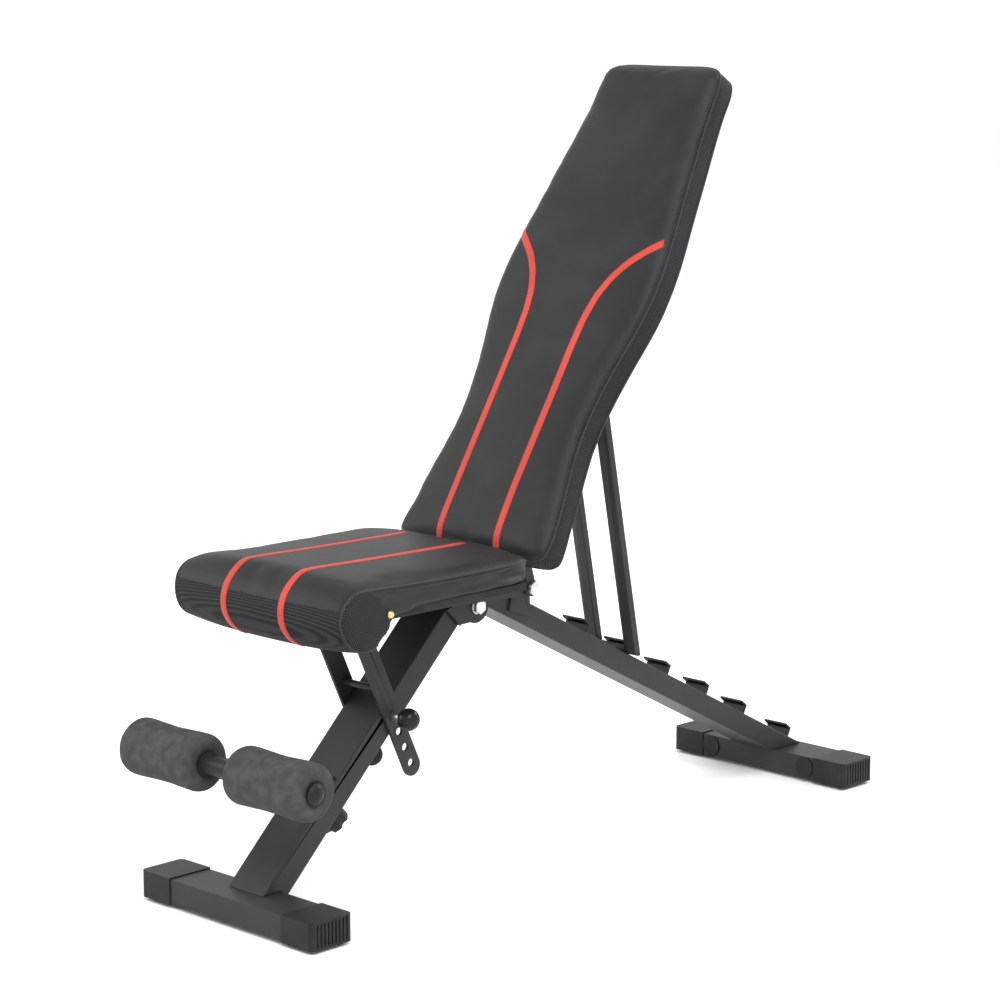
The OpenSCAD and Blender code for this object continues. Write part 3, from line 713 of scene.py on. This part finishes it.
def back_outline(inset=0.0, steps=70):
    """Points round the backrest's edge as (across, height)."""
    heights = []
    for i in range(steps + 1):
        share = (1 - math.cos(math.pi * i / steps)) / 2
        heights.append(BACK_LOW + (BACK_HIGH - BACK_LOW) * share)
    right = [(back_half_width(h) - inset, h) for h in heights]
    bottom = [(right[0][0] * t / 10, BACK_LOW) for t in range(-9, 10)]
    top = [(right[-1][0] * -t / 8, BACK_HIGH) for t in range(-7, 8)]
    return bottom + right + top + [(-x, h) for x, h in reversed(right)]


class BENCH_OT_backrest(bpy.types.Operator):
    """Upholster the backrest: a waisted, crowned pad with piping, woven sides and sewn stripes"""

    bl_idname = "bench.backrest"
    bl_label = "Backrest pad"

    def execute(self, context):
        s = cover_settings()
        edge = 7 * MM
        rows = 76
        rings = []
        for i in range(rows + 1):
            share = (1 - math.cos(math.pi * i / rows)) / 2 * 0.5 + i / rows * 0.5
            height = BACK_LOW + (BACK_HIGH - BACK_LOW) * share
            near = min(height - BACK_LOW, BACK_HIGH - height)
            tuck = edge - math.sqrt(max(0.0, edge ** 2 - max(0.0, edge - near) ** 2))
            half = back_half_width(height) + 2 * MM
            rise = s.crown * (1 - math.exp(-near / (30 * MM)))
            ring = []
            front = BACK_FRONT + tuck
            back = BACK_FRONT + BACK_T - tuck * 0.4
            for k in range(-12, 13):
                u = k / 12
                x = u * (half - edge)
                ring.append((x, front - rise * (1 - abs(u) ** 2.4)))
            for k in range(1, 6):
                a = math.pi / 2 * k / 5
                ring.append((half - edge + edge * math.sin(a), front + edge - edge * math.cos(a)))
            ring += [(half, front + edge + (back - front - edge - 3 * MM) * t) for t in (0.35, 0.7, 1)]
            ring += [((half - 3 * MM) * (1 - t / 6), back) for t in range(13)]
            ring += [(-half, front + edge + (back - front - edge - 3 * MM) * t) for t in (1, 0.7, 0.35)]
            for k in range(5, 0, -1):
                a = math.pi / 2 * k / 5
                ring.append((-(half - edge + edge * math.sin(a)), front + edge - edge * math.cos(a)))
            rings.append([leaned(x, d, height) for x, d in ring])
        pad = new_piece("backrest_cushion", *skin(rings), cover_material())
        puff(pad)

        def into_panel(p):
            _, depth, _ = upright(p)
            return min(depth - (BACK_FRONT + FRONT_SEAM), BACK_FRONT + REAR_SEAM - depth)

        mark_panel(pad, into_panel)
        tree = surface_of(pad)
        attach(pad, "backrest")
        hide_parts("backrest_pad")

        for name, depth, radius in (("front", FRONT_SEAM, s.piping), ("rear", REAR_SEAM, s.piping * 0.9)):
            path = []
            for x, h in back_outline(-5 * MM):
                ends = 3 * MM if h in (BACK_LOW, BACK_HIGH) else 0
                h += ends if h > 300 * MM else -ends
                path.append(on_surface(tree, leaned(x, BACK_FRONT + depth, h), 0.2 * MM))
            path = [p for p, q in zip(path, path[1:] + path[:1]) if (q - p).length > 0.4 * MM]
            path = fair(path, closed=True, rounds=3)
            cord = piping(f"backrest_piping_{name}", path, radius, piping_material())
            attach(cord, "backrest")

        for side_name, sign in (("left", -1), ("right", 1)):
            line, across = [], []
            low, high = BACK_STRIPE[0][0] * MM, BACK_STRIPE[-1][0] * MM
            steps = 90
            for i in range(steps + 1):
                h = low + (high - low) * i / steps
                x = smooth_value(BACK_STRIPE, h, 6 * MM) if i < steps else BACK_STRIPE[-1][1] * MM
                line.append((x * sign, h))
            for i, (x, h) in enumerate(line):
                x0, h0 = line[max(0, i - 1)]
                x1, h1 = line[min(steps, i + 1)]
                run = Vector((x1 - x0, h1 - h0)).normalized()
                flat = leaned(run.y, BACK_FRONT, -run.x) - leaned(0, BACK_FRONT, 0)
                across.append(flat)
            path = [leaned(x, BACK_FRONT - s.crown, h) for x, h in line]
            stripe = ribbon(
                f"backrest_stripe_{side_name}", tree, path, across, s.stripe_width, stripe_material(),
            )
            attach(stripe, "backrest")
        return {"FINISHED"}


# ---- Foam rollers ----


class BENCH_OT_rollers(bpy.types.Operator):
    """Turn the foam rollers: waisted sleeves with soft, slightly uneven skins"""

    bl_idname = "bench.rollers"
    bl_label = "Foam rollers"

    def execute(self, context):
        skin_finish = stored("roller_foam", lambda: foam_skin("roller_foam", cover_settings().foam[:]))
        for side_name in ("left", "right"):
            low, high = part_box(f"foam_roller_{side_name}")
            middle = (low + high) / 2
            radius = (high.z - low.z) / 2
            length = high.x - low.x
            bore = 11.3 * MM
            edge = 10 * MM
            waist = 1.5 * MM
            outline = [(0.5 * MM, bore)]
            for k in range(9):
                a = math.pi / 2 * k / 8
                outline.append((edge * (1 - math.cos(a)), radius - edge + edge * math.sin(a)))
            for k in range(1, 24):
                t = k / 24
                dip = waist * (1 - math.cos(2 * math.pi * t)) / 2
                outline.append((edge + (length - 2 * edge) * t, radius - dip))
            for k in range(9):
                a = math.pi / 2 * (1 - k / 8)
                outline.append((length - edge * (1 - math.cos(a)), radius - edge + edge * math.sin(a)))
            outline.append((length - 0.5 * MM, bore))
            rings = []
            for along, r in outline:
                ring = []
                for k in range(64):
                    a = 2 * math.pi * k / 64
                    p = Vector((low.x + along, middle.y + r * math.cos(a), middle.z + r * math.sin(a)))
                    if r > bore + MM:
                        dent = noise.noise(p * 55) * 0.35 * MM
                        p += Vector((0, math.cos(a), math.sin(a))) * (dent - 0.2 * MM)
                    ring.append(p)
                rings.append(ring)
            rings.append([p.copy() for p in rings[0]])
            sleeve = new_piece(f"foam_sleeve_{side_name}", *skin(rings, closed_ends=False), skin_finish)
            bpy.context.view_layer.objects.active = sleeve
            weld = sleeve.modifiers.new("close", "WELD")
            weld.merge_threshold = 0.01 * MM
            bpy.ops.object.modifier_apply(modifier=weld.name)
            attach(sleeve, f"roller_{side_name}")
            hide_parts(f"foam_roller_{side_name}")
        return {"FINISHED"}


# ---- Steel, plastic and plated parts ----


def finish_nodes(names, material, edge=0.0):
    """Gives CAD nodes a finish, and softens their edges."""
    for name in names:
        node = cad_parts[name]
        node.data.materials.clear()
        node.data.materials.append(material)
        weld = node.modifiers.new("join", "WELD")
        weld.merge_threshold = 0.01 * MM
        if edge:
            bevel = node.modifiers.new("edges", "BEVEL")
            bevel.width = edge
            bevel.segments = 2
            bevel.limit_method = "ANGLE"
            bevel.angle_limit = math.radians(40)
            bevel.harden_normals = False
        bpy.context.view_layer.objects.active = node


class BENCH_OT_steelwork(bpy.types.Operator):
    """Finish the frame: powder-coated tubes, black hooks, and painted boards"""

    bl_idname = "bench.steelwork"
    bl_label = "Steelwork"

    def execute(self, context):
        s = steel_settings()
        paint = powder_coat("frame_powder_coat", s.paint[:])
        tubes = (
            "rear_foot_tube", "rear_leg", "front_foot_tube", "front_leg", "seat_cross_tubes",
            "backrest_rail_left", "backrest_rail_right", "support_tube_left", "support_tube_right",
            "roller_post",
        )
        plates = (
            "hinge_lug", "pivot_ears", "hinge_bracket", "seat_plate_left", "seat_plate_right", "strip_left",
            "strip_right", "strip_cross_rod", "backrest_pivot_plates", "backrest_straps", "support_bar",
            "post_base",
        )
        finish_nodes(tubes, paint, s.edge)
        finish_nodes(plates, paint, 0.5 * MM)
        black = powder_coat("hook_powder_coat", s.black[:])
        finish_nodes([f"hook_{i}" for i in range(1, 7)] + ["roller_bar"], black, 0.5 * MM)
        board = painted_board("pad_board", (0.012, 0.012, 0.012))
        finish_nodes(("seat_board", "backrest_board"), board, 0.8 * MM)
        return {"FINISHED"}


class BENCH_OT_fittings(bpy.types.Operator):
    """Finish the caps, knobs, rubber feet, bolts and pins"""

    bl_idname = "bench.fittings"
    bl_label = "Fittings"

    def execute(self, context):
        s = steel_settings()
        caps = (
            "rear_foot_cap_left", "rear_foot_cap_right", "front_foot_cap_left", "front_foot_cap_right",
            "rear_foot_plugs", "clamp_knob", "bar_cap_left", "bar_cap_right",
        )
        finish_nodes(caps, moulded("cap_plastic", s.plastic[:], 0.42, 0.06 * MM), 0.7 * MM)
        rubber = moulded("foot_rubber", (0.02, 0.02, 0.021), 0.8, 0.1 * MM)
        finish_nodes(("rear_foot_pads", "front_foot_pads", "fold_bumper"), rubber, 0.6 * MM)
        finish_nodes(("ball_knob",), moulded("ball_gloss", (0.01, 0.01, 0.01), 0.2, 0.01 * MM))
        zinc = (
            "hinge_bolt", "hinge_nut", "pivot_axle", "axle_nut", "lock_pin", "strip_rod", "strip_spacers",
            "support_rod", "clamp_screw", "seat_board_screws", "backrest_screws",
        )
        finish_nodes(zinc, plated("zinc_plate", (0.66, 0.66, 0.68), 0.32), 0.4 * MM)
        finish_nodes(("seat_side_screws",), plated("brass_screw", (0.8, 0.58, 0.27), 0.25), 0.6 * MM)
        return {"FINISHED"}


# ---- Stage ----


def soft_light(name, place, target, size, power):
    data = bpy.data.lights.new(name, "AREA")
    data.shape = "RECTANGLE"
    data.size, data.size_y = size
    data.energy = power
    lamp = bpy.data.objects.new(name, data)
    lamp.location = place
    lamp.rotation_euler = (Vector(target) - Vector(place)).to_track_quat("-Z", "Y").to_euler()
    bpy.context.scene.collection.objects.link(lamp)


class BENCH_OT_stage(bpy.types.Operator):
    """Lay the pale floor, set the soft studio lights and place the camera"""

    bl_idname = "bench.stage"
    bl_label = "Stage"

    def execute(self, context):
        s = context.scene.bench_stage
        reach = 14.0
        corners = [(-reach, -reach, 0), (reach, -reach, 0), (reach, reach, 0), (-reach, reach, 0)]
        floor_finish = Finish("stage_floor", s.floor[:], 0.7)
        floor = new_piece("stage_floor", corners, [(0, 1, 2, 3)], floor_finish.material, smooth=False)
        world = bpy.data.worlds.new("studio")
        context.scene.world = world
        world.use_nodes = True
        sky = world.node_tree.nodes["Background"]
        sky.inputs["Color"].default_value = (1, 1, 1, 1)
        sky.inputs["Strength"].default_value = 1.05
        context.scene.view_settings.view_transform = "Standard"
        middle = (0.0, 0.0, 0.4)
        soft_light("key", (2.2, -1.6, 3.2), middle, (2.4, 2.4), s.key)
        soft_light("fill", (-2.6, -2.4, 1.8), middle, (2.0, 2.0), s.key * 0.4)
        soft_light("rim", (0.6, 3.2, 2.4), middle, (2.0, 1.2), s.key * 0.5)

        azimuth, pitch, roll = math.radians(44.477), math.radians(10.064), math.radians(-0.023)
        ahead = Vector((
            -math.sin(azimuth) * math.cos(pitch), math.cos(azimuth) * math.cos(pitch), -math.sin(pitch),
        ))
        right = Vector((math.cos(azimuth), math.sin(azimuth), 0))
        up = right.cross(ahead)
        turned_right = right * math.cos(roll) + up * math.sin(roll)
        turned_up = up * math.cos(roll) - right * math.sin(roll)
        data = bpy.data.cameras.new("camera")
        data.sensor_width = 36
        data.lens = 108.71
        data.clip_end = 60
        camera = bpy.data.objects.new("camera", data)
        turn = Matrix((turned_right, turned_up, -ahead)).transposed()
        camera.matrix_world = Matrix.Translation((2.45622, -2.54062, 1.04543)) @ turn.to_4x4()
        context.scene.collection.objects.link(camera)
        context.scene.camera = camera
        return {"FINISHED"}


class BENCH_PT_panel(bpy.types.Panel):
    """The bench's sizes, colours and making steps"""

    bl_idname = "BENCH_PT_panel"
    bl_label = "Weight Bench"
    bl_space_type = "VIEW_3D"
    bl_region_type = "UI"
    bl_category = "Bench"

    def draw(self, context):
        for name in ("bench_cover", "bench_steel", "bench_stage"):
            settings = getattr(context.scene, name)
            column = self.layout.column()
            for key in settings.bl_rna.properties.keys():
                if key not in ("rna_type", "name"):
                    column.prop(settings, key)
        for operator in OPERATORS:
            self.layout.operator(operator.bl_idname)


SETTINGS = {
    "bench_cover": BenchCoverSettings,
    "bench_steel": BenchSteelSettings,
    "bench_stage": BenchStageSettings,
}
OPERATORS = (
    BENCH_OT_seat, BENCH_OT_backrest, BENCH_OT_rollers, BENCH_OT_steelwork, BENCH_OT_fittings,
    BENCH_OT_stage,
)


def register():
    for group in SETTINGS.values():
        bpy.utils.register_class(group)
    for name, group in SETTINGS.items():
        setattr(bpy.types.Scene, name, bpy.props.PointerProperty(type=group))
    for item in (*OPERATORS, BENCH_PT_panel):
        bpy.utils.register_class(item)


def unregister():
    for item in (BENCH_PT_panel, *reversed(OPERATORS)):
        bpy.utils.unregister_class(item)
    for name, group in SETTINGS.items():
        delattr(bpy.types.Scene, name)
        bpy.utils.unregister_class(group)


def main():
    register()
    bpy.ops.bench.seat()
    bpy.ops.bench.backrest()
    bpy.ops.bench.rollers()
    bpy.ops.bench.steelwork()
    bpy.ops.bench.fittings()
    bpy.ops.bench.stage()


if __name__ == "__main__":
    main()
